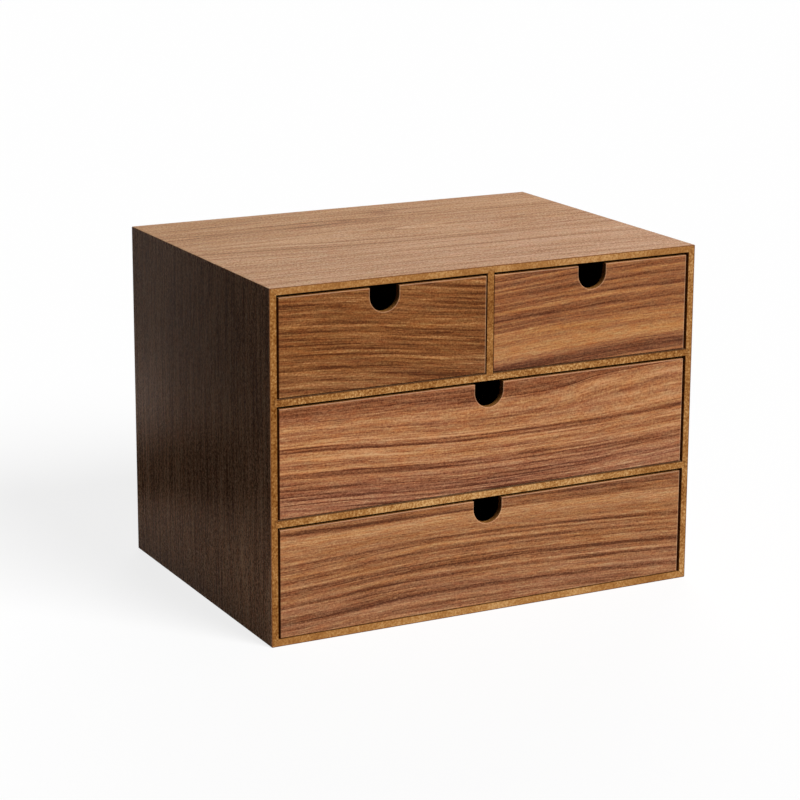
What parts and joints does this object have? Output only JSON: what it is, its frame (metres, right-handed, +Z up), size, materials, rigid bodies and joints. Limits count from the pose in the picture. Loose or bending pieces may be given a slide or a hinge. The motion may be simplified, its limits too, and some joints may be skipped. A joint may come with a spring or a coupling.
{
  "type": "desktop drawer chest",
  "caption": "Low wooden desktop chest with a mitred veneered case, two small drawers side by side above two full-width drawers, each pulled by a round finger notch.",
  "frame": {"origin": "centre of the chest's underside", "axes": "+Z up, +X to the right across the drawer fronts, +Y from the drawer fronts to the back panel"},
  "size_m": [0.33, 0.24, 0.246],
  "materials": {
    "walnut_veneer_board": "satin walnut veneer on fibreboard",
    "fibreboard": "clear-coated medium density fibreboard"
  },
  "bodies": {
    "case": {"top_board": "walnut_veneer_board", "bottom_board": "walnut_veneer_board", "left_board": "walnut_veneer_board", "right_board": "walnut_veneer_board", "back_panel": "fibreboard", "upper_shelf": "fibreboard", "lower_shelf": "fibreboard", "divider": "fibreboard"},
    "upper_left_drawer": {"upper_left_drawer_front": "walnut_veneer_board", "upper_left_drawer_left_side": "fibreboard", "upper_left_drawer_right_side": "fibreboard", "upper_left_drawer_back": "fibreboard", "upper_left_drawer_bottom": "fibreboard"},
    "upper_right_drawer": {"upper_right_drawer_front": "walnut_veneer_board", "upper_right_drawer_left_side": "fibreboard", "upper_right_drawer_right_side": "fibreboard", "upper_right_drawer_back": "fibreboard", "upper_right_drawer_bottom": "fibreboard"},
    "middle_drawer": {"middle_drawer_front": "walnut_veneer_board", "middle_drawer_left_side": "fibreboard", "middle_drawer_right_side": "fibreboard", "middle_drawer_back": "fibreboard", "middle_drawer_bottom": "fibreboard"},
    "lower_drawer": {"lower_drawer_front": "walnut_veneer_board", "lower_drawer_left_side": "fibreboard", "lower_drawer_right_side": "fibreboard", "lower_drawer_back": "fibreboard", "lower_drawer_bottom": "fibreboard"}
  },
  "joints": [
    {"name": "upper_left_drawer_slide", "type": "slide", "parent": "case", "child": "upper_left_drawer", "axis": [0, -1, 0], "range_m": [0, 0.2]},
    {"name": "upper_right_drawer_slide", "type": "slide", "parent": "case", "child": "upper_right_drawer", "axis": [0, -1, 0], "range_m": [0, 0.2]},
    {"name": "middle_drawer_slide", "type": "slide", "parent": "case", "child": "middle_drawer", "axis": [0, -1, 0], "range_m": [0, 0.2]},
    {"name": "lower_drawer_slide", "type": "slide", "parent": "case", "child": "lower_drawer", "axis": [0, -1, 0], "range_m": [0, 0.2]}
  ]
}
